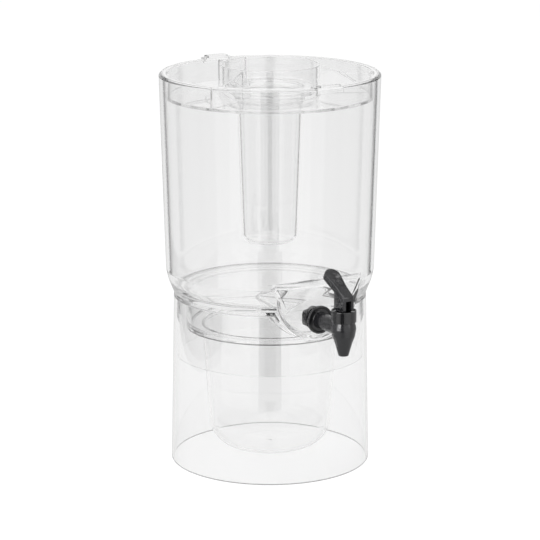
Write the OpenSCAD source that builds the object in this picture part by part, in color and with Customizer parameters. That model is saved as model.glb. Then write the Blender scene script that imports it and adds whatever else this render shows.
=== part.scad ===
// Clear juice dispenser: stand, ice bowl, reservoir with a sump, lid with an ice tube, and a lever tap.
// The tap points to -Y, the stand's foot rests on z = 0, and the reservoir's axis is the Z axis.

/* [Stand] */
// Outer radius of the stand at its foot
foot_r = 105.3; // [103:0.1:112]
// Outer radius of the stand at its top rim
stand_top_r = 101.4; // [100:0.1:102.5]
// Height of the stand
stand_h = 179; // [170:1:200]
// Wall of the stand
stand_wall = 2.4; // [2:0.1:3]

/* [Ice bowl] */
// Thickness of the flange that hangs on the stand
bowl_flange_t = 4; // [2.5:0.1:5]
// Outer radius of the wide upper part
bowl_r = 88.4; // [86:0.1:89]
// Wall of the wide upper part
bowl_wall = 4.4; // [2.5:0.1:5]
// Thickness of the deck round the cup
deck_t = 4; // [2.5:0.1:5]
// Gap between the deck and the sump above it
deck_gap = 2; // [1.9:0.1:4]
// Fillet under the flange
bowl_fillet = 7; // [2:0.5:7.5]
// Wall of the locating sleeve
sleeve_wall = 2; // [1.5:0.1:2.4]
// Length of the locating sleeve below the flange
sleeve_len = 64.5; // [40:0.5:110]
// Gap between the sleeve and the stand
sleeve_gap = 0.5; // [0.3:0.1:0.8]
// Outer radius of the cup under the deck
cup_top_r = 71.5; // [66:0.5:76]
// Outer radius of the cup where its bottom starts to round
cup_low_r = 63; // [50:0.5:65]
// Height of the cup's underside above the table
cup_foot = 13.5; // [5:0.5:40]
// Outer radius of the cup's rounded bottom edge
cup_round = 29; // [10:1:40]
// Wall of the cup
cup_wall = 2.2; // [1.5:0.1:3]

/* [Reservoir] */
// Outer radius at the rim
rim_r = 115; // [113:0.1:120]
// How far the wall stands out over the underside's edge where the shoulder starts
shoulder_out = 7.7; // [7:0.1:9]
// Height of the reservoir from its underside to its rim
reservoir_h = 229; // [215:1:260]
// Height of the shoulder
shoulder_h = 24; // [22:0.5:26]
// Slope of the shoulder's lower part from the upright, in degrees
shoulder_slope = 22; // [20:0.5:26]
// Wall of the reservoir
wall = 4.5; // [3.5:0.1:5]
// Thickness of the floor
floor_t = 4.5; // [3.5:0.1:6]
// Radius between the floor and the wall inside
floor_fillet = 12; // [8:0.5:13]

/* [Sump] */
// Outer radius of the sump's round underside
sump_r = 49; // [47:0.5:50]
// Height of the sump's centre line above the underside
sump_up = 17; // [16:0.5:18]
// Distance from the axis to the centre of the sump's round inner end
sump_inner_y = 60; // [56:1:66]
// Wall of the sump
sump_wall = 4; // [3:0.1:5]
// Distance of the flat tap panel from the axis
panel_y = 96; // [94:0.5:97]
// Thickness of the flat tap panel
panel_t = 3.6; // [3:0.1:5]
// Height of the panel's recess above the underside
recess_up = 26; // [25:0.5:32]
// Gap between the sump and the notches of the stand and the ice bowl
notch_gap = 1.8; // [1:0.1:1.9]

/* [Lid] */
// Space between the lid's wall and the reservoir's wall at the rim
lid_wall_gap = 3.1; // [2:0.1:5]
// Wall of the lid
lid_wall = 2.4; // [1.8:0.1:3.5]
// Depth of the lid below the rim
lid_depth = 23.5; // [20:0.5:30]
// Thickness of the lid's floor
lid_floor_t = 2.5; // [2:0.1:4]
// Distance of the lid's flange from the rim's outer edge
lid_flange_in = 2.2; // [2:0.1:3.5]
// Thickness of the flange on the rim
lid_flange_t = 1.6; // [1.2:0.1:3]
// Outer radius of the raised collar
collar_r = 51.6; // [49.5:0.1:60]
// Wall of the collar
collar_wall = 2.6; // [1.8:0.1:3]
// Height of the collar above the rim
collar_up = 10; // [6:0.5:16]
// Depth of the tube's shelf below the rim
shelf_down = 15; // [12:0.5:18]
// Thickness of the three ribs
rib_t = 2.2; // [1.6:0.1:4]
// Angle of the front ribs from the tap
rib_angle = 64; // [50:1:75]
// Radius at which a rib comes down to the rim's level
rib_low_r = 86; // [74:1:95]
// Width of each rim tab
tab_w = 31; // [26:0.5:40]
// Width of the finger pad on each tab
pad_w = 23; // [12:0.5:25]
// Thickness of a tab over the rim
tab_t = 2.6; // [2:0.1:4]
// Height of the finger pad above its tab
pad_up = 2.1; // [1:0.1:4]
// How far a tab hooks down over the rim
tab_hook = 3.5; // [2:0.1:6]
// Thickness of a tab's hook
hook_t = 2.8; // [1.8:0.1:4]
// Gap between a tab's hook and the rim
tab_gap = 0.8; // [0.4:0.1:1.5]

/* [Ice tube] */
// Outer radius of the tube's neck
tube_neck_r = 35.4; // [34:0.1:36]
// Length of the neck
tube_neck_len = 15; // [13:0.5:20]
// Outer radius of the tube under its neck
tube_top_r = 33.9; // [31:0.1:34]
// Outer radius of the tube at its low end
tube_low_r = 29.4; // [22:0.1:31]
// Length of the tube below its flange
tube_len = 162; // [100:1:180]
// Wall of the tube
tube_wall = 2.4; // [1.6:0.1:3.5]
// Radius of the tube's bottom edge
tube_round = 9; // [4:0.5:12]
// Radius of the tube's flange
tube_flange_r = 46; // [42:0.1:46.5]
// Thickness of the tube's flange
tube_flange_t = 3; // [1.6:0.1:4]
// How far each grip ring stands out of the neck
grip_out = 0.8; // [0.4:0.1:1.2]
// Gap between the grip rings and the shelf's hole
grip_gap = 0.6; // [0.4:0.1:1]

/* [Tap] */
// Height of the tap's inlet below the reservoir's underside
tap_down = 11.5; // [10.5:0.5:12.5]
// Radius of the tap's flange
flange_r = 14.6; // [13:0.1:15]
// Thickness of the tap's flange
flange_t = 3.2; // [2:0.1:5]
// Outer radius of the threaded shank
shank_r = 8; // [7.5:0.1:8.6]
// Length of the shank behind the flange
shank_len = 21.5; // [20:0.5:26]
// Pitch of the shank's thread
thread_pitch = 2; // [1.5:0.25:3]
// Depth of the shank's thread
thread_depth = 0.7; // [0.4:0.1:0.9]
// Radius of the inlet bore
inlet_r = 5; // [4:0.1:5.5]
// Distance from the flange's face to the barrel's centre
barrel_reach = 43.3; // [41:0.1:60]
// Radius of the neck between the flange and the barrel
neck_r = 8.3; // [7.5:0.1:8.4]
// Outer radius of the barrel at its widest
barrel_r = 12.8; // [12.4:0.1:14]
// Outer radius of the spout's tip
tip_r = 5.1; // [4.6:0.1:6]
// Length of the spout below the inlet
spout_down = 27; // [25:0.5:40]
// Radius of the spout's bore
spout_bore_r = 3.2; // [2.5:0.1:3.5]
// Radius of the valve chamber
chamber_r = 8.6; // [8.2:0.1:8.8]
// Radius of the threaded neck above the barrel
top_neck_r = 10.5; // [10.2:0.1:10.8]
// Thickness of the outer gasket
outer_gasket_t = 1.5; // [1:0.1:3]
// Radius of the outer gasket
outer_gasket_r = 13.6; // [12:0.1:15]
// Thickness of the inner gasket
inner_gasket_t = 1.6; // [1:0.1:3]
// Radius of the inner gasket
inner_gasket_r = 13; // [12:0.1:14]
// Radius of the hexagon nut over its corners
nut_r = 13.3; // [12:0.1:14]
// Thickness of the hexagon nut
nut_t = 9.5; // [6:0.5:11]
// Running gap round the shank, the stem and the pin
fit_gap = 0.08; // [0.04:0.01:0.1]

/* [Bonnet and valve] */
// Outer radius of the bonnet
bonnet_r = 12.9; // [12.6:0.1:14]
// Height of the bonnet's lower edge above the inlet
bonnet_up = 8.5; // [8.5:0.1:12]
// Height of the bonnet
bonnet_h = 12; // [11:0.1:14]
// Thickness of the bonnet's deck
bonnet_deck_t = 3.6; // [2.5:0.1:4]
// Depth of the dish in the bonnet's top
dish_depth = 1.2; // [0.6:0.1:1.2]
// Width of the lip round the dish
dish_lip = 1; // [0.8:0.1:1.4]
// Radius of the valve stem
stem_r = 3; // [2.6:0.1:3]
// Thickness of the seat cup's clamped rim
cup_rim_t = 1.7; // [1:0.1:2.4]
// Wall of the seat cup's bell
bell_wall = 1.3; // [1:0.1:1.6]

/* [Lever] */
// Width of the lever's block
block_w = 12.7; // [12:0.1:16]
// Block in front of the pin
block_front = 9; // [8.6:0.1:9.6]
// Block behind the pin
block_back = 9; // [7:0.1:10]
// Height of the pin above the block's underside
pin_up = 11.5; // [11:0.1:14]
// Height of the block's front edge above the pin
edge_up = 1.9; // [1.5:0.1:4]
// Rise of the stem per radian of the lever, which shapes the cam
cam_rise = 3.2; // [2.5:0.1:3.2]
// Width of the slot for the stem
slot_w = 6.4; // [6.2:0.1:7]
// Radius of the round top of the stem's tongue
eye_r = 3.8; // [3.4:0.1:4.2]
// Radius of the lever's pin
pin_r = 1.5; // [1.2:0.1:1.8]
// Gap between the cam and the bonnet
cam_gap = 0.3; // [0.25:0.05:0.5]
// Slope of the paddle above level, in degrees
paddle_slope = 31; // [25:1:35]
// Length of the paddle from the block's front edge to its round end's centre
paddle_len = 34.5; // [30:0.5:38]
// Radius of the paddle's round end
paddle_r = 8.5; // [7:0.1:10]
// Thickness of the paddle
paddle_t = 5; // [4:0.1:6]
// Radius of the thumb dimple
dimple_r = 5.5; // [3:0.1:6]
// Depth of the thumb dimple
dimple_depth = 1.3; // [0.5:0.1:2]

/* [Hidden] */
$fn = 96;
eps = 0.01;
clear_tint = [0.93, 0.95, 0.96, 0.35];
black_tint = [0.13, 0.13, 0.14];
silicone_tint = [0.85, 0.85, 0.83];
rubber_tint = [0.2, 0.2, 0.21];
steel_tint = [0.75, 0.76, 0.78];

// Levels of the stack
underside = stand_h + bowl_flange_t;
floor_top = underside + floor_t;
rim_z = underside + reservoir_h;
lid_under = rim_z - lid_depth;
shelf_top = rim_z - shelf_down;

// Sump, panel and notch
sump_z = underside + sump_up;
recess_z = underside + recess_up;
notch_r = sump_r + notch_gap;
deck_top = sump_z - sump_r - deck_gap;
deck_under = deck_top - deck_t;

// Radii that fit in one another
stand_in_low = stand_top_r + (foot_r - stand_top_r) * sleeve_len / stand_h;
sleeve_r = min(stand_top_r, stand_in_low) - stand_wall - sleeve_gap;
bowl_in = bowl_r - bowl_wall;
underside_r = stand_top_r + 0.3;
shoulder_r = underside_r + shoulder_out;
rim_in = rim_r - wall;
lid_wall_r = rim_in - lid_wall_gap;
lid_flange_r = rim_r - lid_flange_in;
grip_r = tube_neck_r + grip_out;
shelf_r = grip_r + grip_gap;

// Tap levels and distances from the axis
tap_z = underside - tap_down;
flange_back_y = panel_y + outer_gasket_t;
flange_face_y = flange_back_y + flange_t;
barrel_y = flange_face_y + barrel_reach;
nut_y = panel_y - panel_t - inner_gasket_t;
barrel_top = tap_z + bonnet_up;
spout_tip = tap_z - spout_down;
bonnet_top = barrel_top + bonnet_h;
dish_z = bonnet_top - dish_depth;
deck_low = dish_z - bonnet_deck_t;
neck_top = deck_low - cup_rim_t;
seat_z = tap_z - 11;
chamber_floor = seat_z + 3;
stem_foot = seat_z + 3.2;
pin_z = dish_z + cam_gap + pin_up;
lever_range = 45;

// Points along an arc about [cx, cz]
function arc(cx, cz, r, from, to, steps = 8) =
    [for (i = [0:steps]) let (a = from + (to - from) * i / steps) [cx + r * cos(a), cz + r * sin(a)]];
function reversed(list) = [for (i = [len(list) - 1:-1:0]) list[i]];

// Turns a shape so that its own +Z points to -Y, at a distance y from the axis and at height z
module toward_tap(y, z) {
    translate([0, -y, z]) rotate([90, 0, 0]) children();
}

// Places a shape on the barrel's axis
module on_barrel(z = 0) {
    translate([0, -barrel_y, z]) children();
}

// Ring with a square section
module ring(r_in, r_out, z, h) {
    translate([0, 0, z]) difference() {
        cylinder(r = r_out, h = h);
        translate([0, 0, -1]) cylinder(r = r_in, h = h + 2);
    }
}

// Small mark left where the plastic flowed into the mould
module gate_mark(z) {
    translate([0, 0, z - 0.5]) cylinder(r = 2, h = 0.5 + eps);
}

// Round cut in the front walls, which lets the sump and the tap through
module sump_notch() {
    toward_tap(sump_inner_y, sump_z) cylinder(r = notch_r, h = foot_r);
}

module base_stand() {
    color(clear_tint) difference() {
        rotate_extrude() polygon([[foot_r - stand_wall, 0], [foot_r, 0],
                                  [stand_top_r, stand_h], [stand_top_r - stand_wall, stand_h]]);
        sump_notch();
    }
}

// Outline of the cup, drawn inwards by the inset, from the deck to the axis
function cup_line(inset) = concat(
    [[cup_top_r - inset, deck_under]],
    arc(cup_low_r - cup_round, cup_foot + cup_round, cup_round - inset, 0, -90, 10),
    [[0, cup_foot + inset]]);

module ice_bowl() {
    corner = 3;
    lip = 1.5;
    color(clear_tint) difference() {
        union() {
            rotate_extrude() polygon(concat(
                [[bowl_in, underside]],
                arc(bowl_in - corner, deck_top + corner, corner, 0, -90, 4),
                arc(cup_top_r - cup_wall + lip, deck_top - lip, lip, 90, 180, 3),
                cup_line(cup_wall),
                reversed(cup_line(0)),
                [[bowl_r, deck_under]],
                arc(bowl_r + bowl_fillet, stand_h - bowl_fillet, bowl_fillet, 180, 90, 6),
                [[sleeve_r - sleeve_wall, stand_h], [sleeve_r - sleeve_wall, stand_h - sleeve_len],
                 [sleeve_r, stand_h - sleeve_len], [sleeve_r, stand_h],
                 [stand_top_r - 0.2, stand_h], [stand_top_r - 0.2, underside]]));
            gate_mark(cup_foot);
        }
        sump_notch();
    }
}

// Solid outline of the reservoir: a cone from the underside, rounded into the wall
module reservoir_outside() {
    round_r = max(4, (shoulder_h * tan(shoulder_slope) - shoulder_out)
                     / (sin(shoulder_slope) * tan(shoulder_slope) - 1 + cos(shoulder_slope)));
    rotate_extrude() polygon(concat(
        [[0, underside], [underside_r, underside]],
        arc(shoulder_r - round_r, underside + shoulder_h, round_r, -shoulder_slope, 0, 5),
        [[rim_r, rim_z], [0, rim_z]]));
}

// Space inside the reservoir above its floor
module reservoir_space() {
    flat_r = bowl_in + 2;
    out = shoulder_r - wall - flat_r;
    up = underside + shoulder_h - floor_top - floor_fillet;
    tangent = atan2(up, out) - acos(floor_fillet / norm([out, up]));
    rotate_extrude() polygon(concat(
        [[0, floor_top]],
        arc(flat_r, floor_top + floor_fillet, floor_fillet, -90, tangent, 6),
        [[shoulder_r - wall, underside + shoulder_h], [rim_in, rim_z], [rim_in, rim_z + 1], [0, rim_z + 1]]));
}

// Level trough with a domed inner end, which runs out to the panel
module trough(r) {
    toward_tap(sump_inner_y, sump_z) rotate_extrude() polygon(concat(
        arc(0, 0, r, -90, 0, 8),
        [[r, panel_y - sump_inner_y], [0, panel_y - sump_inner_y]]));
}

// Block in front of a plane at distance y, from below the sump up to a level
module front_block(y, top) {
    translate([-rim_r, -y - rim_r, 0]) cube([2 * rim_r, rim_r, top]);
}

module reservoir() {
    color(clear_tint) difference() {
        union() {
            reservoir_outside();
            intersection() {
                trough(sump_r);
                translate([-rim_r, -rim_r, 0]) cube([2 * rim_r, 2 * rim_r, recess_z]);
            }
            gate_mark(underside);
        }
        front_block(panel_y, recess_z);
        difference() {
            union() {
                reservoir_space();
                trough(sump_r - sump_wall);
            }
            front_block(panel_y - panel_t, recess_z + wall);
        }
        toward_tap(panel_y - 2 * panel_t, tap_z) cylinder(r = shank_r + 0.3, h = 4 * panel_t);
    }
}

// Upright plate from the collar to the lid's wall, with a hollow curve down from the collar's top
module lid_rib(angle) {
    low = lid_under + lid_floor_t / 2;
    top = rim_z + collar_up - 1;
    span = rib_low_r - collar_r;
    start = collar_r - collar_wall / 2;
    end = lid_wall_r - lid_wall / 2;
    rotate([0, 0, angle - 90]) translate([0, rib_t / 2, 0]) rotate([90, 0, 0]) linear_extrude(rib_t)
        polygon(concat(
            [[start, low], [end, low], [end, rim_z], [rib_low_r, rim_z]],
            [for (i = [1:5]) [rib_low_r - span * i / 6, rim_z + (top - rim_z) * pow(i / 6, 1.7)]],
            [[collar_r, top], [start, top]]));
}

// Tab over the rim, with a hook outside and a finger pad on top
module rim_tab(angle) {
    in_r = lid_wall_r - lid_wall;
    out_r = rim_r + tab_gap + hook_t;
    rotate([0, 0, angle]) {
        intersection() {
            translate([-tab_w / 2, -out_r - 1, rim_z - tab_hook]) cube([tab_w, rim_r, tab_hook + tab_t]);
            union() {
                ring(in_r, out_r, rim_z, tab_t);
                ring(rim_r + tab_gap, out_r, rim_z - tab_hook, tab_hook + tab_t);
            }
        }
        intersection() {
            translate([-pad_w / 2, -out_r - 1, rim_z]) cube([pad_w, rim_r, tab_t + pad_up]);
            ring(in_r + hook_t, out_r - 0.6, rim_z + tab_t - eps, pad_up + eps);
        }
    }
}

module lid() {
    collar_in = collar_r - collar_wall;
    color(clear_tint) {
        ring(lid_wall_r - lid_wall, lid_wall_r, lid_under, lid_depth + lid_flange_t);
        ring(lid_wall_r - lid_wall, lid_flange_r, rim_z, lid_flange_t);
        ring(collar_in, lid_wall_r, lid_under, lid_floor_t);
        ring(collar_in, collar_r, lid_under, lid_depth + collar_up);
        ring(shelf_r, collar_r, shelf_top - lid_floor_t, lid_floor_t);
        for (angle = [-rib_angle, rib_angle, 180]) lid_rib(angle);
        for (angle = [0, 180]) rim_tab(angle);
    }
}

module ice_tube() {
    bottom = shelf_top - tube_len;
    neck_low = shelf_top - tube_neck_len;
    flange_z = shelf_top + tube_flange_t;
    ring_h = 1.2;
    color(clear_tint) {
        rotate_extrude() polygon(concat(
            [[0, bottom]],
            arc(tube_low_r - tube_round, bottom + tube_round, tube_round, -90, 0, 6),
            [[tube_top_r, neck_low - 0.8], [tube_neck_r, neck_low], [tube_neck_r, shelf_top],
             [tube_flange_r, shelf_top], [tube_flange_r, flange_z], [tube_neck_r - tube_wall, flange_z],
             [tube_neck_r - tube_wall, neck_low + 1], [tube_top_r - tube_wall, neck_low - 1]],
            arc(tube_low_r - tube_round, bottom + tube_round, tube_round - tube_wall, 0, -90, 6),
            [[0, bottom + tube_wall]]));
        for (i = [0:2]) ring(tube_neck_r - tube_wall / 2, grip_r, shelf_top - 7.6 - 3.25 * i, ring_h);
    }
}

// Outline of the barrel and spout, up to the top of the threaded neck
module barrel_outside() {
    tip_round = 0.5;
    rotate_extrude() polygon([
        [0, spout_tip], [tip_r - tip_round, spout_tip], [tip_r, spout_tip + tip_round],
        [barrel_r - 4, tap_z - 14], [barrel_r - 1.7, tap_z - 7.5], [barrel_r - 0.6, tap_z - 4.1],
        [barrel_r - 0.1, tap_z - 1], [barrel_r, tap_z + 1.3], [barrel_r - 0.5, tap_z + 4.5],
        [barrel_r - 1.7, barrel_top - eps], [top_neck_r, barrel_top - eps],
        [top_neck_r, neck_top], [0, neck_top]]);
}

// Shank with a row of rings in place of its thread, which starts at its free end
module shank() {
    root_r = shank_r - thread_depth;
    turns = floor((shank_len - 1) / thread_pitch);
    rotate_extrude() polygon(concat(
        [[0, 0], [root_r, 0]],
        [for (i = [0:turns - 1], k = [0, 1]) [k == 0 ? shank_r : root_r, (i + 0.5 + k / 2) * thread_pitch]],
        [[shank_r, shank_len + eps], [0, shank_len + eps]]));
}

module tap_body() {
    color(black_tint) difference() {
        union() {
            on_barrel() barrel_outside();
            toward_tap(flange_back_y, tap_z) cylinder(r = flange_r, h = flange_t);
            toward_tap(flange_face_y - eps, tap_z) cylinder(r = neck_r, h = barrel_reach - 4);
            toward_tap(flange_back_y - shank_len, tap_z) shank();
        }
        on_barrel() rotate_extrude() polygon([[0, spout_tip - 1], [spout_bore_r, spout_tip - 1],
            [spout_bore_r, seat_z], [chamber_r, chamber_floor], [chamber_r, neck_top + 1], [0, neck_top + 1]]);
        toward_tap(flange_back_y - shank_len - 1, tap_z)
            cylinder(r = inlet_r, h = shank_len + flange_t + barrel_reach - chamber_r / 2);
        toward_tap(flange_face_y - 1.2, tap_z) ring(neck_r + 1.2, flange_r - 2.2, 0, 2);
    }
}

module tap_bonnet() {
    color(black_tint) on_barrel() {
        ring(top_neck_r + fit_gap, bonnet_r, barrel_top, dish_z - barrel_top);
        ring(bonnet_r - dish_lip, bonnet_r, dish_z - eps, dish_depth + eps);
        ring(stem_r + fit_gap, bonnet_r - 1, deck_low, bonnet_deck_t);
    }
}

// Soft bell: its rim is clamped under the bonnet, its tip closes the spout and holds the stem's foot
module seat_cup() {
    gap = 0.1;
    slope = (chamber_r - spout_bore_r) / (chamber_floor - seat_z);
    sock_r = stem_r + fit_gap;
    tip_r_in = spout_bore_r - 0.4;
    tip_low = seat_z + gap;
    tip_out = sock_r + bell_wall;
    shoulder_z = tip_low + (tip_out - tip_r_in) / slope;
    bell_out = chamber_r - 0.7;
    color(silicone_tint) on_barrel() rotate_extrude() polygon([
        [0, tip_low], [tip_r_in, tip_low], [tip_out, shoulder_z], [tip_out, shoulder_z + 6],
        [bell_out, neck_top - 4], [bell_out, neck_top], [top_neck_r - gap, neck_top], [top_neck_r - gap, deck_low],
        [bell_out - bell_wall, deck_low], [bell_out - bell_wall, neck_top - 3.4],
        [sock_r, shoulder_z + 7], [sock_r, stem_foot - gap], [0, stem_foot - gap]]);
}

// Rod with its foot in the seat cup and a tongue with a round top for the pin
module valve_stem() {
    tongue_w = slot_w - 0.4;
    color(black_tint) on_barrel() difference() {
        union() {
            translate([0, 0, stem_foot]) cylinder(r = stem_r, h = pin_z - stem_foot);
            translate([-tongue_w / 2, 0, pin_z]) rotate([0, 90, 0]) cylinder(r = eye_r, h = tongue_w);
        }
        translate([-slot_w, 0, pin_z]) rotate([0, 90, 0]) cylinder(r = pin_r + fit_gap, h = 2 * slot_w);
    }
}

// Point on the side view of the cam, on which the stem rises evenly with the lever's angle
function cam_point(angle) =
    let (reach = pin_up + cam_rise * angle * PI / 180)
    [-reach * sin(angle) - cam_rise * cos(angle), -reach * cos(angle) + cam_rise * sin(angle)];

// Places a shape on the paddle's upper face, with +Y along the paddle
module on_paddle() {
    translate([0, -block_front, edge_up]) rotate([paddle_slope, 0, 0]) children();
}

module tap_lever() {
    back_z = edge_up + (block_front + block_back) * tan(paddle_slope) - paddle_t;
    cam = [for (a = [0:4:lever_range]) if (cam_point(a)[0] > -block_front + 0.2) cam_point(a)];
    dome_r = (dimple_r * dimple_r + dimple_depth * dimple_depth) / (2 * dimple_depth);
    cavity_r = eye_r + 0.6;
    color(black_tint) on_barrel(pin_z) difference() {
        union() {
            rotate([90, 0, 90]) translate([0, 0, -block_w / 2]) linear_extrude(block_w) polygon(concat(
                [[block_back, back_z], [block_back, -pin_up + 2], [block_back - 2, -pin_up]],
                cam,
                [[-block_front, cam[len(cam) - 1][1] + 0.5], [-block_front, edge_up - 0.8],
                 [-block_front + 1, edge_up - 0.2]]));
            on_paddle() hull($fn = 40) {
                translate([-block_w / 2, 0, -0.8]) cube([block_w, 20, 0.8]);
                translate([-block_w / 2, 2.4, -paddle_t]) cube([block_w, 17.6, 1]);
                translate([0, paddle_len, -paddle_t + 0.8]) cylinder(r = paddle_r, h = paddle_t - 1.6);
                translate([0, paddle_len, -paddle_t]) cylinder(r = paddle_r - 0.8, h = paddle_t);
            }
        }
        on_paddle() translate([0, paddle_len, dome_r - dimple_depth]) sphere(r = dome_r);
        translate([-slot_w / 2, -2 * block_front, -2 * pin_up])
            cube([slot_w, 2 * block_front + cavity_r, 2 * pin_up]);
        translate([-slot_w / 2, 0, 0]) rotate([0, 90, 0]) cylinder(r = cavity_r, h = slot_w);
        translate([-block_w, 0, 0]) rotate([0, 90, 0]) cylinder(r = pin_r + fit_gap * 0.75, h = 2 * block_w);
    }
}

module lever_pin() {
    pin_len = block_w - 0.2;
    color(steel_tint) on_barrel(pin_z) translate([-pin_len / 2, 0, 0]) rotate([0, 90, 0])
        cylinder(r = pin_r, h = pin_len);
}

// Flat ring on the shank
module shank_ring(y, r, t) {
    toward_tap(y, tap_z) ring(shank_r + fit_gap, r, 0, t);
}

module outer_gasket() {
    color(rubber_tint) shank_ring(panel_y, outer_gasket_r, outer_gasket_t);
}

module inner_gasket() {
    color(rubber_tint) shank_ring(nut_y, inner_gasket_r, inner_gasket_t);
}

module hex_nut() {
    color(black_tint) toward_tap(nut_y - nut_t, tap_z) difference() {
        rotate([0, 0, 30]) cylinder(r = nut_r, h = nut_t, $fn = 6);
        translate([0, 0, -1]) cylinder(r = shank_r + fit_gap, h = nut_t + 2);
    }
}

base_stand();
ice_bowl();
reservoir();
lid();
ice_tube();
tap_body();
outer_gasket();
inner_gasket();
hex_nut();
tap_bonnet();
seat_cup();
valve_stem();
lever_pin();
tap_lever();
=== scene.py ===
import bpy
from math import cos, hypot, pi, radians, sin, tan
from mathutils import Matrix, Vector


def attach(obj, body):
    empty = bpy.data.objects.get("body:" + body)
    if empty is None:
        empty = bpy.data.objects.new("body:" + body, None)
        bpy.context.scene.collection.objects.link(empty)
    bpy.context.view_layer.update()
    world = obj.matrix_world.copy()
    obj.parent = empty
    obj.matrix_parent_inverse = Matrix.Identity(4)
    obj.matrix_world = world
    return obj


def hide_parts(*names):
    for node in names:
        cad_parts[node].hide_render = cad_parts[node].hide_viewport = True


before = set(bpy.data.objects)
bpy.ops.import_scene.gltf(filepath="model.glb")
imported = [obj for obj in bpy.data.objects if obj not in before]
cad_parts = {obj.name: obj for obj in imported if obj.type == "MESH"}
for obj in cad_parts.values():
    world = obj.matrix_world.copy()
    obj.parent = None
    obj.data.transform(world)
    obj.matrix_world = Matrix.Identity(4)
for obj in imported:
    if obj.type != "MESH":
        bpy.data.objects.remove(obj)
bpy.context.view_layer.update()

scene = bpy.context.scene
scene.view_settings.view_transform = "Standard"
# A look through the dispenser crosses a dozen clear walls, so the light needs many bounces
scene.cycles.max_bounces = 96
scene.cycles.transmission_bounces = 96
scene.cycles.glossy_bounces = 96


# Camera: a long lens a little above the rim, 31 degrees to the left of the tap
camera_azimuth = -31.0
camera_data = bpy.data.cameras.new("photo_camera")
camera = bpy.data.objects.new("photo_camera", camera_data)
scene.collection.objects.link(camera)
camera.location = (-1.2765, -2.1245, 0.8179)
camera.rotation_euler = (radians(76.061), 0.0, radians(camera_azimuth))
camera_data.sensor_fit = "HORIZONTAL"
camera_data.angle = radians(12.71)
camera_data.clip_end = 30.0
scene.camera = camera


# Stand: a thin tube of clear styrene-acrylonitrile, a little wider at its foot and open below.
# It is moulded in one piece, with a round notch in its front that the reservoir's sump passes through.

def linear(hex_colour):
    """Turns an sRGB hex colour into linear values, with an alpha of 1."""
    values = [int(hex_colour[i:i + 2], 16) / 255 for i in (1, 3, 5)]
    return tuple(v / 12.92 if v <= 0.04045 else ((v + 0.055) / 1.055) ** 2.4 for v in values) + (1.0,)


def add_node(tree, kind, inputs=None, **settings):
    """Adds a node, sets it, and sets or links its inputs."""
    node = tree.nodes.new(kind)
    for key, value in settings.items():
        setattr(node, key, value)
    for key, value in (inputs or {}).items():
        if isinstance(value, bpy.types.NodeSocket):
            tree.links.new(value, node.inputs[key])
        else:
            node.inputs[key].default_value = value
    return node


def new_material(name):
    """Makes an empty node material and returns it with its tree."""
    material = bpy.data.materials.new(name)
    material.use_nodes = True
    material.node_tree.nodes.clear()
    return material, material.node_tree


def rounded(corners, closed=True):
    """Turns corners (x, y, radius) in mm into an outline with round corners, and holds its long edges straight."""
    outline = []
    count = len(corners)
    for i, (x, y, radius) in enumerate(corners):
        if radius <= 0 or (not closed and i in (0, count - 1)):
            outline.append((x, y))
            continue
        here = Vector((x, y))
        back = Vector(corners[i - 1][:2]) - here
        ahead = Vector(corners[(i + 1) % count][:2]) - here
        half = back.angle(ahead) / 2
        reach = min(radius / tan(half), 0.49 * back.length, 0.49 * ahead.length)
        radius = reach * tan(half)
        centre = here + (back.normalized() + ahead.normalized()).normalized() * (radius / sin(half))
        start = here + back.normalized() * reach - centre
        end = here + ahead.normalized() * reach - centre
        turn = start.angle_signed(end)
        steps = 5 if radius < 5 else 12 if radius < 15 else 30
        for k in range(steps + 1):
            a = -turn * k / steps
            outline.append((centre.x + start.x * cos(a) - start.y * sin(a),
                            centre.y + start.x * sin(a) + start.y * cos(a)))
    held = []
    pairs = zip(outline, outline[1:] + outline[:1])
    for i, ((x, y), (x2, y2)) in enumerate(pairs):
        held.append((x, y))
        length = hypot(x2 - x, y2 - y)
        if length > 3 and (closed or i < len(outline) - 1):
            for share in (0.4 / length, 1 - 0.4 / length):
                held.append((x + (x2 - x) * share, y + (y2 - y) * share))
    return held


def draw_outline(name, points, closed):
    """Draws a line of edges through points in mm, from one vertex that is extruded along, and stays in edit mode."""
    bpy.ops.object.select_all(action="DESELECT")
    bpy.ops.mesh.primitive_plane_add(size=0.001)
    piece = bpy.context.object
    piece.name = name
    piece.data.name = name
    bpy.ops.object.mode_set(mode="EDIT")
    bpy.ops.mesh.select_mode(type="VERT")
    bpy.ops.mesh.merge(type="CENTER")
    places = [Vector(p) / 1000 for p in points]
    bpy.ops.transform.translate(value=places[0])
    for here, there in zip(places, places[1:]):
        bpy.ops.mesh.extrude_region_move(TRANSFORM_OT_translate={"value": there - here})
    if closed:
        bpy.ops.object.mode_set(mode="OBJECT")
        for vertex in piece.data.vertices:
            vertex.select = vertex.index in (0, len(piece.data.vertices) - 1)
        bpy.ops.object.mode_set(mode="EDIT")
        bpy.ops.mesh.edge_face_add()
    bpy.ops.mesh.select_all(action="SELECT")
    return piece


def turned(name, outline, centre=(0, 0, 0), axis="Z", closed=True, steps=192):
    """Turns an outline of (radius, place along the axis) in mm about an axis through the centre."""
    cx, cy, cz = centre
    if axis == "Z":
        points = [(cx + r, cy, cz + a) for r, a in outline]
    else:
        points = [(cx + r, cy - a, cz) for r, a in outline]
    piece = draw_outline(name, points, closed)
    bpy.ops.mesh.spin(steps=steps, angle=2 * pi, center=Vector(centre) / 1000,
                      axis=(0, 0, 1) if axis == "Z" else (0, 1, 0))
    bpy.ops.mesh.select_all(action="SELECT")
    bpy.ops.mesh.remove_doubles(threshold=0.000002)
    bpy.ops.mesh.normals_make_consistent(inside=False)
    bpy.ops.object.mode_set(mode="OBJECT")
    return piece


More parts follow.
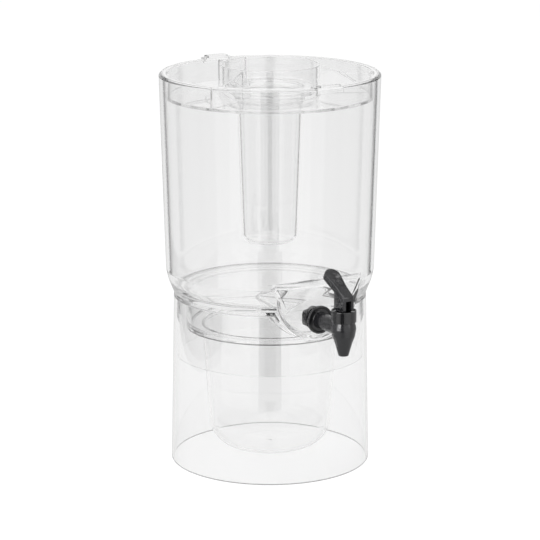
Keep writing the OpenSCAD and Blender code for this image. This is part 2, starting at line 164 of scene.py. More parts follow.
def block(name, low, high):
    """Makes a box between two corners in mm."""
    bpy.ops.object.select_all(action="DESELECT")
    bpy.ops.mesh.primitive_cube_add(size=1)
    piece = bpy.context.object
    piece.name = name
    bpy.ops.object.mode_set(mode="EDIT")
    bpy.ops.transform.resize(value=[(h - l) / 1000 for l, h in zip(low, high)])
    bpy.ops.transform.translate(value=[(h + l) / 2000 for l, h in zip(low, high)])
    bpy.ops.object.mode_set(mode="OBJECT")
    return piece


def combine(piece, tool, operation):
    """Cuts the tool from the piece, joins it on or keeps what both share, and removes the tool."""
    modifier = piece.modifiers.new(operation.lower(), "BOOLEAN")
    modifier.operation = operation
    modifier.solver = "EXACT"
    modifier.object = tool
    bpy.ops.object.select_all(action="DESELECT")
    bpy.context.view_layer.objects.active = piece
    bpy.ops.object.modifier_apply(modifier=modifier.name)
    mesh = tool.data
    bpy.data.objects.remove(tool)
    bpy.data.meshes.remove(mesh)


def soften_edges(piece, width, angle=40, segments=3):
    """Rounds the sharp edges by a width in mm."""
    modifier = piece.modifiers.new("edges", "BEVEL")
    modifier.width = width / 1000
    modifier.segments = segments
    modifier.limit_method = "ANGLE"
    modifier.angle_limit = radians(angle)
    bpy.ops.object.select_all(action="DESELECT")
    bpy.context.view_layer.objects.active = piece
    bpy.ops.object.modifier_apply(modifier=modifier.name)


def finish_piece(piece, material, angle=30):
    """Shades a piece smooth between its sharp edges and gives it its material."""
    bpy.ops.object.select_all(action="DESELECT")
    piece.select_set(True)
    bpy.context.view_layer.objects.active = piece
    bpy.ops.object.shade_smooth_by_angle(angle=radians(angle))
    piece.data.materials.clear()
    piece.data.materials.append(material)


def clear_plastic(name, tint, wave_mm, wave_depth, painted_edge_shade=None):
    """Styrene-acrylonitrile from a polished mould: clear, glossy, a little dark in its depth, with slow flow waves.

    A painted edge shade (inner radius, outer radius and top in mm, tint) is painted shade: in that ring below that top
    the base colour is darker, where light runs off along the wall.
    """
    material, tree = new_material(name)
    place = add_node(tree, "ShaderNodeTexCoord")
    waves = add_node(tree, "ShaderNodeTexNoise", {"Vector": place.outputs["Object"],
                     "Scale": 1000 / wave_mm, "Detail": 2.0, "Roughness": 0.4})
    smear = add_node(tree, "ShaderNodeMapRange", {"Value": waves.outputs["Fac"], "To Min": 0.0, "To Max": 0.02})
    bump = add_node(tree, "ShaderNodeBump", {"Height": waves.outputs["Fac"],
                    "Strength": 0.1, "Distance": wave_depth / 1000})
    colour = linear(tint)
    # Painted shade: the base colour turns to the darker tint in a ring below the given top, in place of light that runs
    # off along the wall
    if painted_edge_shade:
        inner, outer, top, edge_shade_tint = painted_edge_shade
        axes = add_node(tree, "ShaderNodeSeparateXYZ", {0: place.outputs["Object"]})
        flat = add_node(tree, "ShaderNodeCombineXYZ", {"X": axes.outputs["X"], "Y": axes.outputs["Y"]})
        radius = add_node(tree, "ShaderNodeVectorMath", {0: flat.outputs[0]}, operation="LENGTH")
        near = add_node(tree, "ShaderNodeMath", {0: radius.outputs["Value"], 1: (inner + outer) / 2000,
                        2: (outer - inner) / 2000}, operation="COMPARE")
        low = add_node(tree, "ShaderNodeMath", {0: axes.outputs["Z"], 1: top / 1000}, operation="LESS_THAN")
        in_edge_shade = add_node(tree, "ShaderNodeMath", {0: near.outputs[0], 1: low.outputs[0]}, operation="MULTIPLY")
        colour = add_node(tree, "ShaderNodeMix", {0: in_edge_shade.outputs[0], 6: linear(tint), 7: linear(edge_shade_tint)},
                          data_type="RGBA").outputs[2]
    shader = add_node(tree, "ShaderNodeBsdfPrincipled", {"Base Color": colour, "IOR": 1.57,
                      "Transmission Weight": 1.0, "Roughness": smear.outputs["Result"],
                      "Normal": bump.outputs["Normal"]})
    depth = add_node(tree, "ShaderNodeVolumeAbsorption", {"Color": (0.5, 0.5, 0.5, 1), "Density": 1.6})
    add_node(tree, "ShaderNodeOutputMaterial", {"Surface": shader.outputs["BSDF"], "Volume": depth.outputs["Volume"]})
    return material


sump_axis_z = 200
notch_radius = 50.8


def notch_tool():
    """Round bar that cuts the notch for the sump in the front walls."""
    return turned("notch_tool", [(0, 60), (notch_radius, 60), (notch_radius, 170), (0, 170)],
                  centre=(0, 0, sump_axis_z), axis="Y", closed=False)


foot_z = 0.02
stand_top_z = 178.95
stand_bend_z = 148.6
stand = turned("clear_stand", rounded([
    (102.9, foot_z, 0.6), (105.3, foot_z, 0.8), (102.07, stand_bend_z, 0), (101.4, stand_top_z, 0.5),
    (99.0, stand_top_z, 0.5), (99.67, stand_bend_z, 0)]))
combine(stand, notch_tool(), "DIFFERENCE")
# Painted shade: a grey ring in the base colour along the foot's lowest 0.9 mm, standing in for a dark edge line
stand_clear = clear_plastic("clear_san_stand", "#fefefe", 60, 0.05, painted_edge_shade=(100, 108, 0.9, "#a0a0a0"))
finish_piece(stand, stand_clear)
stand.visible_shadow = False
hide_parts("base_stand")
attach(stand, "stand")


# Ice bowl: a clear bowl with a wide upper part and a deep cup, moulded in one piece.
# It hangs on the stand's rim by its flange, and a thin sleeve under the flange centres it.

def gate_mark(z):
    """Small round stub under a bottom at a height in mm, where the plastic entered the mould."""
    return turned("gate_mark", [(0, z - 0.5), (1.6, z - 0.5), (2.0, z - 0.3), (2.0, z + 0.5), (0, z + 0.5)],
                  closed=False, steps=32)


bowl_bottom_z = 13.5
flange_r = 101.2
flange_z = 179
sleeve_z = 114.5
bowl_inside = rounded([(flange_r, 183, 0), (84, 183, 0.8), (84, 149, 3), (69.3, 149, 1.5), (60.2, 15.7, 27),
                       (0, 15.7, 0)], closed=False)
bowl_outside = rounded([(0, bowl_bottom_z, 0), (62.4, bowl_bottom_z, 29), (71.5, 145, 1.0), (88.4, 145, 0.6),
                        (88.4, flange_z, 7), (96.5, flange_z, 0.5), (96.5, stand_bend_z, 0), (96.5, sleeve_z, 0.4),
                        (98.5, sleeve_z, 0.4), (98.5, stand_bend_z, 0), (98.5, flange_z, 0.3),
                        (flange_r, flange_z, 0.4), (flange_r, 182.9, 0)], closed=False)
bowl = turned("clear_ice_bowl", bowl_inside + bowl_outside)
combine(bowl, gate_mark(bowl_bottom_z), "UNION")
combine(bowl, notch_tool(), "DIFFERENCE")
# Painted shade: a dark ring in the base colour at the foot of the wide part's wall, below 146.4 mm, standing in for a
# dark edge line
bowl_clear = clear_plastic("clear_san_bowl", "#fdfdfd", 90, 0.08, painted_edge_shade=(87.4, 92, 146.4, "#3c3c3c"))
finish_piece(bowl, bowl_clear)
bowl.visible_shadow = False
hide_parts("ice_bowl")
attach(bowl, "bowl")


# Reservoir: a thick clear vessel that flares to its rim, with a sloped shoulder above its floor.
# A round sump drops through the floor at the front and ends in a flat panel with the tap's hole.

def sump_shape(name, radius, end_y):
    """Level round bar with a domed inner end."""
    dome = [(radius * sin(pi / 2 * k / 24), 60 - radius * cos(pi / 2 * k / 24)) for k in range(25)]
    return turned(name, dome + [(radius, end_y), (0, end_y)], centre=(0, 0, sump_axis_z), axis="Y", closed=False)


def thick_plate(name, points, reach):
    """Plate of a closed outline of points in mm, drawn out by a reach in mm."""
    plate = draw_outline(name, points, closed=True)
    bpy.ops.mesh.edge_face_add()
    bpy.ops.mesh.extrude_region_move(TRANSFORM_OT_translate={"value": [value / 1000 for value in reach]})
    bpy.ops.mesh.select_all(action="SELECT")
    bpy.ops.mesh.normals_make_consistent(inside=False)
    bpy.ops.object.mode_set(mode="OBJECT")
    return plate


panel_y = 96.0
panel_wall = 3.6
recess_z = 209.0
recess_low_z = 182.6
reservoir_bottom_z = 183.05
rim_z = 412
tap_z = 171.5
# The cutters end well outside the vessel, at these places
past_x = 130
past_y = 240
past_z = 300

reservoir = turned("clear_reservoir", rounded([
    (0, reservoir_bottom_z, 0), (101.7, reservoir_bottom_z, 0.8), (107.2, 197, 26), (109.4, 207, 0),
    (109.47, 209.6, 0), (115, rim_z, 1.2), (0, rim_z, 0)], closed=False))
sump = sump_shape("sump_outside", 49, 120)
combine(sump, block("sump_top", (-past_x, -130, recess_z - 5), (past_x, 130, past_z)), "DIFFERENCE")
for low_x, high_x in ((-past_x, -30), (30, past_x)):
    combine(sump, block("sump_side", (low_x, -past_y, 180), (high_x, -panel_y, past_z)), "DIFFERENCE")
combine(reservoir, sump, "UNION")

# The recess in front of the panel has slanted ends, so that light passes through its corners
recess_outline = [(-past_x, 100), (past_x, 100), (past_x, recess_low_z), (36.2, recess_low_z), (49.4, recess_z),
                  (-49.4, recess_z), (-36.2, recess_low_z), (-past_x, recess_low_z)]
recess = thick_plate("panel_recess", [(x, -past_y, z) for x, z in recess_outline], (0, past_y - panel_y, 0))
combine(reservoir, recess, "DIFFERENCE")

space = turned("reservoir_space", rounded([
    (0, 187.5, 0), (97.6, 187.5, 6), (102.6, 197, 20), (104.9, 207, 0), (105.094, 214.1, 0), (110.5, rim_z, 0),
    (110.6, 420, 0), (0, 420, 0)], closed=False))
combine(space, sump_shape("sump_inside", 45, panel_y), "UNION")
combine(space, block("panel_wall", (-past_x, -past_y, 100), (past_x, -panel_y + panel_wall, recess_z + 4.5)),
        "DIFFERENCE")
combine(reservoir, space, "DIFFERENCE")
hole = turned("tap_hole", [(0, 80), (8.3, 80), (8.3, 110), (0, 110)], centre=(0, 0, tap_z), axis="Y",
              closed=False, steps=64)
combine(reservoir, hole, "DIFFERENCE")
combine(reservoir, gate_mark(reservoir_bottom_z), "UNION")
thick_clear = clear_plastic("clear_san_thick_wall", "#fdfdfd", 90, 0.08)
finish_piece(reservoir, thick_clear)
reservoir.visible_shadow = False
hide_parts("reservoir")
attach(reservoir, "tank")


# Lid: a clear pan that drops into the reservoir's mouth and rests on the rim by a thin flange.
# Three ribs brace its raised collar, and two tabs at the front and back hook over the rim.

def flat_plate(name, points, thickness, rounding):
    """Plate of a flat outline in mm in the plane x = 0, thickened evenly to both sides, with rounded edges."""
    plate = thick_plate(name, [(-thickness / 2, y, z) for y, z in points], (thickness, 0, 0))
    soften_edges(plate, rounding)
    return plate


def turn_piece(piece, angle):
    """Turns a piece's mesh about the upright axis."""
    bpy.ops.object.select_all(action="DESELECT")
    piece.select_set(True)
    bpy.context.view_layer.objects.active = piece
    piece.rotation_euler = (0, 0, radians(angle))
    bpy.ops.object.transform_apply(location=False, rotation=True, scale=False)


lid_rest_z = 412.05
collar_r = 51.6
shelf_z = 397
lid = turned("clear_lid", rounded([
    (105.0, 413.6, 0.5), (105.0, 391, 1.0), (collar_r, 391, 0.8), (collar_r, 422, 0.8), (49.0, 422, 0.8),
    (49.0, shelf_z, 0.4), (36.8, shelf_z, 0.5), (36.8, 394.5, 0.5), (49.0, 394.5, 0.4), (49.0, 388.5, 0.5),
    (107.4, 388.5, 1.0), (107.4, lid_rest_z, 0.3), (112.8, lid_rest_z, 0.3), (112.8, 413.6, 0.6)]))

# Each rib is level at the rim and curves up to the collar
rib_bend = 86
rib_steps = 12
rib_curve = [(-rib_bend + (rib_bend - collar_r) * i / rib_steps, rim_z + 9 * (i / rib_steps) ** 1.7)
             for i in range(rib_steps + 1)]
rib_outline = [(-50.4, 389.8), (-106.2, 389.8), (-106.2, 412.0)] + rib_curve + [(-50.4, 421.0)]
for angle in (180, 64, -64):
    rib = flat_plate("lid_rib", rib_outline, 2.2, 0.4)
    turn_piece(rib, angle)
    combine(lid, rib, "UNION")

for angle in (0, 180):
    tab = turned("rim_tab", rounded([
        (106, lid_rest_z, 0), (115.8, lid_rest_z, 0.3), (115.8, 408.5, 0.5), (118.6, 408.5, 0.8), (118.6, 414.6, 0.8),
        (106, 414.6, 0)]))
    combine(tab, block("tab_width", (-15.5, -130, 400), (15.5, -90, 430)), "INTERSECT")
    pad = turned("finger_pad", rounded([(107.8, 414, 0), (118, 414, 0), (118, 416.7, 1.0), (107.8, 416.7, 1.0)]))
    combine(pad, block("pad_width", (-11.5, -130, 400), (11.5, -90, 430)), "INTERSECT")
    combine(tab, pad, "UNION")
    turn_piece(tab, angle)
    combine(lid, tab, "UNION")
thin_clear = clear_plastic("clear_san_thin_wall", "#fefefe", 60, 0.05)
finish_piece(lid, thin_clear)
lid.visible_shadow = False
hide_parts("lid")
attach(lid, "cover")


# Ice tube: a closed clear tube for ice, moulded with a taper so that it leaves its mould.
# It hangs by its flange on the shelf in the lid's collar, and three rings on its neck grip the shelf's hole.

tube_neck_r = 35.4
ring_r = 36.2
tube_rest_z = 397.05
rings = []
for z in (382.9, 386.2, 389.4):
    rings += [(tube_neck_r, z, 0), (ring_r, z + 0.2, 0.3), (ring_r, z + 1.0, 0.3), (tube_neck_r, z + 1.2, 0)]
tube_outside = [(0, 235, 0), (28.9, 235, 9), (33.9, 381.2, 0.4), (tube_neck_r, 382, 0.3)] + rings
tube_flange = [(tube_neck_r, tube_rest_z, 0.2), (46, tube_rest_z, 0.4), (46, 400, 1.0), (33.0, 400, 1.2)]
tube_inside = [(33.0, 383, 0.5), (31.5, 381, 0.5), (26.6, 237.4, 6.6), (0, 237.4, 0)]
tube = turned("clear_ice_tube", rounded(tube_outside + tube_flange + tube_inside, closed=False), closed=False)
finish_piece(tube, thin_clear)
tube.visible_shadow = False
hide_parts("ice_tube")
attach(tube, "tube")


# Tap body: a black polypropylene moulding with its barrel, spout, neck, flange and threaded shank in one.
# It is pushed through the panel from outside and held by the nut on its shank.

def black_plastic(name, tint, rough_low, rough_high, grain_mm):
    """Black polypropylene from a fine eroded mould: satin gloss, with a grain that is drawn coarse so that it shows."""
    material, tree = new_material(name)
    place = add_node(tree, "ShaderNodeTexCoord")
    grain = add_node(tree, "ShaderNodeTexNoise", {"Vector": place.outputs["Object"],
                     "Scale": 1000 / grain_mm, "Detail": 3.0, "Roughness": 0.6})
    wear = add_node(tree, "ShaderNodeTexNoise", {"Vector": place.outputs["Object"],
                    "Scale": 1000 / 14, "Detail": 2.0, "Roughness": 0.5})
    gloss = add_node(tree, "ShaderNodeMapRange", {"Value": wear.outputs["Fac"], "From Min": 0.3, "From Max": 0.7,
                     "To Min": rough_low, "To Max": rough_high})
    bump = add_node(tree, "ShaderNodeBump", {"Height": grain.outputs["Fac"], "Strength": 0.12, "Distance": 0.0002})
    shader = add_node(tree, "ShaderNodeBsdfPrincipled", {"Base Color": linear(tint), "IOR": 1.6,
                      "Roughness": gloss.outputs["Result"], "Normal": bump.outputs["Normal"]})
    add_node(tree, "ShaderNodeOutputMaterial", {"Surface": shader.outputs["BSDF"]})
    return material


black_satin = black_plastic("black_polypropylene", "#18181a", 0.15, 0.24, 0.6)
barrel_y = 144.0
barrel = (0, -barrel_y, 0)
tap_body = turned("tap_body_moulding", rounded([
    (0, 152, 0), (3.2, 152, 0.3), (3.2, 144.5, 0.3), (5.1, 144.5, 0.5), (8.8, 157.5, 6), (11.6, 165, 8),
    (12.8, 172.5, 5), (12.3, 176, 3), (11.1, 180, 0.4), (10.5, 180, 0), (10.5, 185.5, 0.4), (8.6, 185.5, 0.3),
    (8.6, 164, 0.4), (0, 163, 0)], closed=False), centre=barrel, closed=False, steps=96)
thread_r = 8.0
thread_root_r = 7.3
thread_pitch = 2
thread = []
for k in range(10):
    thread += [(thread_r, 96.5 - thread_pitch * k), (thread_root_r, 95.5 - thread_pitch * k)]
neck_flange = rounded([(8.3, 135.0, 0), (8.3, 99.5, 1.0), (11.9, 99.5, 0.3), (12.6, 100.7, 0.4), (14.6, 100.7, 0.6),
                       (14.6, 97.5, 0.5), (thread_r, 97.5, 0.2), (thread_r, 97.0, 0)], closed=False)
neck_bore = [(thread_root_r, 76.0), (5.0, 76.0), (5.0, 134.9)]
neck = turned("tap_neck", [(4.0, 135.0), (8.3, 135.0)] + neck_flange + thread + neck_bore,
              centre=(0, 0, tap_z), axis="Y", steps=96)
combine(tap_body, neck, "UNION")
finish_piece(tap_body, black_satin, 35)
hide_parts("tap_body")
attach(tap_body, "tank")


# Panel gaskets: two flat black rubber rings, one on each side of the panel, cut from sheet.
# The nut presses them, so that the hole in the panel doesn't leak.

def soft_rubber(name, tint, rough):
    """Rubber or silicone from a dull mould: matte, a little uneven in tone."""
    material, tree = new_material(name)
    place = add_node(tree, "ShaderNodeTexCoord")
    dust = add_node(tree, "ShaderNodeTexNoise", {"Vector": place.outputs["Object"],
                    "Scale": 1000 / 3, "Detail": 4.0, "Roughness": 0.6})
    gloss = add_node(tree, "ShaderNodeMapRange", {"Value": dust.outputs["Fac"],
                     "To Min": rough - 0.08, "To Max": rough + 0.08})
    bump = add_node(tree, "ShaderNodeBump", {"Height": dust.outputs["Fac"], "Strength": 0.1, "Distance": 0.0002})
    shader = add_node(tree, "ShaderNodeBsdfPrincipled", {"Base Color": linear(tint), "IOR": 1.5,
                      "Roughness": gloss.outputs["Result"], "Normal": bump.outputs["Normal"]})
    add_node(tree, "ShaderNodeOutputMaterial", {"Surface": shader.outputs["BSDF"]})
    return material


black_rubber = soft_rubber("black_rubber_sheet", "#1a1a1b", 0.6)
shank_hole_r = 8.08
nut_face_y = 90.8
for node, radius, start, end in (("outer_gasket", 13.6, 96.0, 97.5), ("inner_gasket", 13.0, nut_face_y, 92.4)):
    gasket = turned(node + "_ring", rounded([
        (shank_hole_r, start, 0.2), (radius, start, 0.35), (radius, end, 0.35), (shank_hole_r, end, 0.2)]),
        centre=(0, 0, tap_z), axis="Y", steps=96)
    finish_piece(gasket, black_rubber)
    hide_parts(node)
    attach(gasket, "tank")


# Hexagon nut: a black moulded nut on the shank inside the sump, with a point upwards.
# It is screwed on by hand and holds the tap to the panel.

nut_length = 9.5
bpy.ops.object.select_all(action="DESELECT")
bpy.ops.mesh.primitive_cylinder_add(vertices=6, radius=0.0133, depth=nut_length / 1000)
nut = bpy.context.object
nut.name = "hexagon_nut"
bpy.ops.object.mode_set(mode="EDIT")
bpy.ops.transform.rotate(value=pi / 2, orient_axis="X", center_override=(0, 0, 0))
bpy.ops.transform.translate(value=(0, -(nut_face_y - nut_length / 2) / 1000, tap_z / 1000))
bpy.ops.object.mode_set(mode="OBJECT")
corners_off = turned("nut_corners", rounded([
    (0, 80.0, 0), (11.2, 80.0, 0), (13.6, 83.2, 0), (13.6, 88.9, 0), (12.2, 92, 0), (0, 92, 0)], closed=False),
    centre=(0, 0, tap_z), axis="Y", closed=False, steps=96)
combine(nut, corners_off, "INTERSECT")
nut_bore = turned("nut_bore", [(0, 70), (shank_hole_r, 70), (shank_hole_r, 100), (0, 100)],
                  centre=(0, 0, tap_z), axis="Y", closed=False, steps=96)
combine(nut, nut_bore, "DIFFERENCE")
soften_edges(nut, 0.35, angle=35, segments=2)
finish_piece(nut, black_satin, 35)
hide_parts("hex_nut")
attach(nut, "tank")


# Bonnet: a black ring nut that screws onto the barrel's neck, with a shallow dish in its top.
# The lever's cam rests in the dish, and the stem passes through its middle.

black_gloss = black_plastic("black_polypropylene_smooth", "#171718", 0.08, 0.14, 0.8)
bonnet_bore_r = 10.58
stem_hole_r = 3.08
dish_z = 190.8
bonnet = turned("tap_bonnet_ring", rounded([
    (bonnet_bore_r, 180, 0.3), (12.9, 180, 0.5), (12.9, 192, 0.7), (11.9, 192, 0.4), (11.5, dish_z, 0.3),
    (stem_hole_r, dish_z, 0.3), (stem_hole_r, 187.2, 0.3), (bonnet_bore_r, 187.2, 0.3)]), centre=barrel, steps=96)
finish_piece(bonnet, black_gloss)
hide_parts("tap_bonnet")
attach(bonnet, "tank")


# Lever: a black moulded block on the stem's pin, with a slot for the stem and a thumb paddle.
# The paddle leans back over the neck, with a round dimple near its end, and its lower front edge is the cam.

pin_z = 202.6
block_half = 9.0
block_width = 12.7
slot_half = 3.2
cam_reach = 11.5
cam_rise = 3.2
cam_end = -8.8
paddle_z = 4.2
cam = []
for degrees in range(0, 30, 2):
    a = radians(degrees)
    reach = cam_reach + cam_rise * a
    point = (-reach * sin(a) - cam_rise * cos(a), -reach * cos(a) + cam_rise * sin(a))
    if point[0] > cam_end:
        cam.append(point)
lever_side = ([(block_half, 8.6), (block_half, -9.5), (7.0, -cam_reach)] + cam
              + [(-block_half, cam[-1][1] + 0.5), (-block_half, 3.4), (-8.0, paddle_z)])
lever = flat_plate("tap_lever_moulding", [(y - barrel_y, z + pin_z) for y, z in lever_side], block_width, 0.6)

slope = radians(31)
paddle_half = 6.4
paddle_end = 34.5
paddle_end_r = 8.5
paddle_thickness = 7.2
arc_steps = 24
top_view = [(paddle_half, -3.0), (paddle_half, 16.0)]
for k in range(arc_steps + 1):
    a = radians(-10 + 200 * k / arc_steps)
    top_view.append((paddle_end_r * cos(a), paddle_end + paddle_end_r * sin(a)))
top_view += [(-paddle_half, 16.0), (-paddle_half, -3.0)]


def on_paddle(x, along, up):
    """Place in mm of a point on the paddle, measured along its upper face from the block's front edge."""
    return (x, -barrel_y - block_half + along * cos(slope) - up * sin(slope),
            pin_z + paddle_z + along * sin(slope) + up * cos(slope))


paddle = thick_plate("paddle", [on_paddle(x, along, -paddle_thickness) for x, along in top_view],
                     (0, -paddle_thickness * sin(slope), paddle_thickness * cos(slope)))
front_y = -barrel_y - block_half - 0.03
combine(paddle, block("front_trim", (-20, -barrel_y - 30, 180), (20, front_y, 240)), "DIFFERENCE")
soften_edges(paddle, 0.9, angle=35)
combine(lever, paddle, "UNION")

thumb_radius = 14.0
thumb_depth = 1.6
bpy.ops.object.select_all(action="DESELECT")
bpy.ops.mesh.primitive_uv_sphere_add(segments=64, ring_count=48, radius=thumb_radius / 1000)
thumb = bpy.context.object
bpy.ops.object.mode_set(mode="EDIT")
bpy.ops.transform.translate(value=Vector(on_paddle(0, paddle_end - 4.5, thumb_radius - thumb_depth)) / 1000)
bpy.ops.object.mode_set(mode="OBJECT")
combine(lever, thumb, "DIFFERENCE")
stem_slot = block("stem_slot", (-slot_half, -barrel_y - 30, 170), (slot_half, -barrel_y + 4.4, pin_z))
combine(lever, stem_slot, "DIFFERENCE")


def cross_bar(name, radius, half_length, steps):
    """Bar along X through the lever's pin."""
    bpy.ops.object.select_all(action="DESELECT")
    bpy.ops.mesh.primitive_cylinder_add(vertices=steps, radius=radius / 1000, depth=2 * half_length / 1000)
    bar = bpy.context.object
    bar.name = name
    bpy.ops.object.mode_set(mode="EDIT")
    bpy.ops.transform.rotate(value=pi / 2, orient_axis="Y", center_override=(0, 0, 0))
    bpy.ops.transform.translate(value=(0, -barrel_y / 1000, pin_z / 1000))
    bpy.ops.object.mode_set(mode="OBJECT")
    return bar


combine(lever, cross_bar("eye_space", 4.4, slot_half, 64), "DIFFERENCE")
combine(lever, cross_bar("pin_hole", 1.56, 20, 48), "DIFFERENCE")
# The lever's large faces are cut to triangles here, so that every program cuts them in the same way
lever.select_set(True)
bpy.ops.object.mode_set(mode="EDIT")
bpy.ops.mesh.select_all(action="SELECT")
bpy.ops.mesh.quads_convert_to_tris(quad_method="BEAUTY", ngon_method="BEAUTY")
bpy.ops.object.mode_set(mode="OBJECT")
finish_piece(lever, black_satin, 35)
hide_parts("tap_lever")
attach(lever, "lever")


# Lever pin: a short steel pin pressed through the lever's cheeks and the stem's eye.
# Its ends are chamfered and lie just inside the lever's sides.

pin_material, pin_tree = new_material("drawn_steel_pin")
pin_place = add_node(pin_tree, "ShaderNodeTexCoord")
pin_lines = add_node(pin_tree, "ShaderNodeTexNoise", {"Vector": pin_place.outputs["Object"], "Scale": 900.0})
pin_gloss = add_node(pin_tree, "ShaderNodeMapRange", {"Value": pin_lines.outputs["Fac"], "To Min": 0.3, "To Max": 0.5})
pin_shader = add_node(pin_tree, "ShaderNodeBsdfPrincipled", {"Base Color": linear("#4a4a4d"), "Metallic": 1.0,
                      "Roughness": pin_gloss.outputs["Result"]})
add_node(pin_tree, "ShaderNodeOutputMaterial", {"Surface": pin_shader.outputs["BSDF"]})
pin = cross_bar("lever_pin_bar", 1.5, 6.25, 48)
soften_edges(pin, 0.25, angle=50, segments=2)
finish_piece(pin, pin_material)
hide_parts("lever_pin")
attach(pin, "stem")


# Stem and seat cup: the black rod that the lever lifts, and the silicone bell that closes the spout.
# Both are inside the barrel, so their solids stay and get their finish here.

silicone = soft_rubber("translucent_silicone", "#d9d9d5", 0.45)
for node, material in (("valve_stem", black_satin), ("seat_cup", silicone)):
    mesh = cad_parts[node].data
    mesh.materials.clear()
    mesh.materials.append(material)


# Studio: a white table that runs out to a white room, a wide soft lamp from above and a fill from the left.
# Two strip lamps light only the tap. White, grey and dark boards stand round the dispenser and show only in mirrored
# light, where they give the clear walls their lines.

floor_straight = 0.9
floor_through = 0.76
floor_mirrored = 0.5
bpy.ops.object.select_all(action="DESELECT")
bpy.ops.mesh.primitive_plane_add(size=12, location=(0, 0, 0))
floor = bpy.context.object
floor.name = "white_table"
floor_material, floor_tree = new_material("white_table_top")
floor_rays = add_node(floor_tree, "ShaderNodeLightPath")
seen = add_node(floor_tree, "ShaderNodeMath", {0: floor_rays.outputs["Is Camera Ray"],
                1: floor_rays.outputs["Is Glossy Ray"]}, operation="MAXIMUM")
seen = add_node(floor_tree, "ShaderNodeMath", {0: seen.outputs[0],
                1: floor_rays.outputs["Is Transmission Ray"]}, operation="MAXIMUM")
floor_diffuse = add_node(floor_tree, "ShaderNodeBsdfDiffuse", {"Color": (0.2, 0.2, 0.2, 1)})
mirrored = add_node(floor_tree, "ShaderNodeMath", {0: floor_rays.outputs["Is Glossy Ray"],
                    1: floor_rays.outputs["Is Transmission Ray"]}, operation="SUBTRACT")
through_level = add_node(floor_tree, "ShaderNodeMapRange", {"Value": floor_rays.outputs["Is Transmission Ray"],
                         "To Min": floor_straight, "To Max": floor_through})
floor_level = add_node(floor_tree, "ShaderNodeMapRange", {"Value": mirrored.outputs[0],
                       "To Min": through_level.outputs["Result"], "To Max": floor_mirrored})
floor_white = add_node(floor_tree, "ShaderNodeEmission", {"Color": (1, 1, 1, 1),
                       "Strength": floor_level.outputs["Result"]})
floor_sum = add_node(floor_tree, "ShaderNodeAddShader", {0: floor_diffuse.outputs[0], 1: floor_white.outputs[0]})
floor_plain = add_node(floor_tree, "ShaderNodeBsdfDiffuse", {"Color": (0.8, 0.8, 0.8, 1)})
floor_mix = add_node(floor_tree, "ShaderNodeMixShader", {0: seen.outputs[0], 1: floor_plain.outputs[0],
                     2: floor_sum.outputs[0]})
add_node(floor_tree, "ShaderNodeOutputMaterial", {"Surface": floor_mix.outputs[0]})
floor.data.materials.append(floor_material)

world = bpy.data.worlds.new("white_room")
scene.world = world
world.use_nodes = True
world_tree = world.node_tree
world_tree.nodes.clear()
rays = add_node(world_tree, "ShaderNodeLightPath")
looked = add_node(world_tree, "ShaderNodeMath", {0: rays.outputs["Is Glossy Ray"],
                  1: rays.outputs["Is Transmission Ray"]}, operation="MAXIMUM")
room_place = add_node(world_tree, "ShaderNodeTexCoord")
way = add_node(world_tree, "ShaderNodeSeparateXYZ", {0: room_place.outputs["Generated"]})
ceiling = add_node(world_tree, "ShaderNodeMapRange", {"Value": way.outputs["Z"], "From Min": 0.5, "From Max": 1.0,
                   "To Min": 1.0, "To Max": 0.5}, interpolation_type="SMOOTHSTEP")
plain = add_node(world_tree, "ShaderNodeMapRange", {"Value": rays.outputs["Is Camera Ray"],
                 "To Min": 0.55, "To Max": 1.0})
level = add_node(world_tree, "ShaderNodeMix", {0: looked.outputs[0], 2: plain.outputs["Result"],
                 3: ceiling.outputs["Result"]})
room = add_node(world_tree, "ShaderNodeBackground", {"Color": (1, 1, 1, 1), "Strength": level.outputs[0]})
add_node(world_tree, "ShaderNodeOutputWorld", {"Surface": room.outputs[0]})


def soft_lamp(name, place, aim, size, power, height=None, only=None):
    """Area lamp that points at a place, square or of a given height, for all pieces or only for a collection."""
    data = bpy.data.lights.new(name, "AREA")
    data.size = size
    data.energy = power
    if height:
        data.shape = "RECTANGLE"
        data.size_y = height
    lamp = bpy.data.objects.new(name, data)
    scene.collection.objects.link(lamp)
    lamp.location = place
    lamp.rotation_euler = (Vector(aim) - Vector(place)).to_track_quat("-Z", "Y").to_euler()
    lamp.visible_transmission = False
    if only:
        lamp.visible_camera = False
        lamp.light_linking.receiver_collection = only


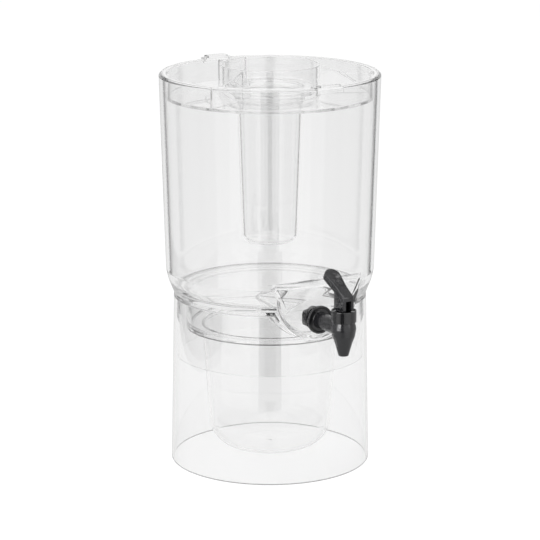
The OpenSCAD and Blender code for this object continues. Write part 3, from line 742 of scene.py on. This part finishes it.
soft_lamp("top_lamp", (-0.3, -0.4, 2.4), (0, 0, 0.2), 1.6, 22)
soft_lamp("left_lamp", (-2.4, -0.8, 1.2), (0, -0.1, 0.25), 1.0, 16)
tap_pieces = bpy.data.collections.new("tap_pieces")
for piece in (tap_body, nut, bonnet, lever):
    tap_pieces.objects.link(piece)
tap_middle = (0, -barrel_y / 1000, 0.19)
soft_lamp("tap_left_strip", (-0.292, -0.211, 0.3), tap_middle, 0.18, 1.1, height=0.36, only=tap_pieces)
soft_lamp("tap_right_strip", (0.06, -0.38, 0.3), tap_middle, 0.15, 0.4, height=0.36, only=tap_pieces)


def board(name, azimuth, distance, width, tone, low=0.0, high=1.4):
    """Upright board of an even tone that faces the object, and shows only where light was mirrored on its way."""
    material, tree = new_material(name)
    mirrors = add_node(tree, "ShaderNodeLightPath").outputs["Glossy Depth"]
    seen_in_mirror = add_node(tree, "ShaderNodeMath", {0: mirrors, 1: 1.0}, operation="MINIMUM")
    gone = add_node(tree, "ShaderNodeBsdfTransparent")
    shade = add_node(tree, "ShaderNodeEmission", {"Color": linear(tone), "Strength": 1.0})
    mix = add_node(tree, "ShaderNodeMixShader", {0: seen_in_mirror.outputs[0], 1: gone.outputs[0],
                   2: shade.outputs[0]})
    add_node(tree, "ShaderNodeOutputMaterial", {"Surface": mix.outputs[0]})
    a = radians(azimuth)
    bpy.ops.object.select_all(action="DESELECT")
    bpy.ops.mesh.primitive_plane_add(size=1)
    plate = bpy.context.object
    plate.name = name
    plate.scale = (width, high - low, 1)
    plate.location = (sin(a) * distance, -cos(a) * distance, (low + high) / 2)
    plate.rotation_euler = (pi / 2, 0, a)
    plate.data.materials.append(material)
    plate.visible_camera = False
    plate.visible_diffuse = False
    plate.visible_shadow = False


board("camera_board", camera_azimuth, 0.4, 0.165, "#101010", high=0.16)
board("camera_board_top", camera_azimuth, 0.4, 0.12, "#585858", low=0.16)
board("left_white_board", -67, 0.4, 0.23, "#ffffff")
board("right_white_board", 5, 0.4, 0.23, "#ffffff")
board("left_grey_board_low", -121.5, 0.5, 0.82, "#b0b0b0", high=0.1)
board("left_grey_board", -121.5, 0.5, 0.82, "#dadada", low=0.1)
board("right_grey_board", 59.5, 0.5, 0.82, "#dadada")
board("left_back_board", 200, 0.65, 0.24, "#505050")
board("right_back_board", 101, 0.65, 0.22, "#606060")

bpy.context.view_layer.update()
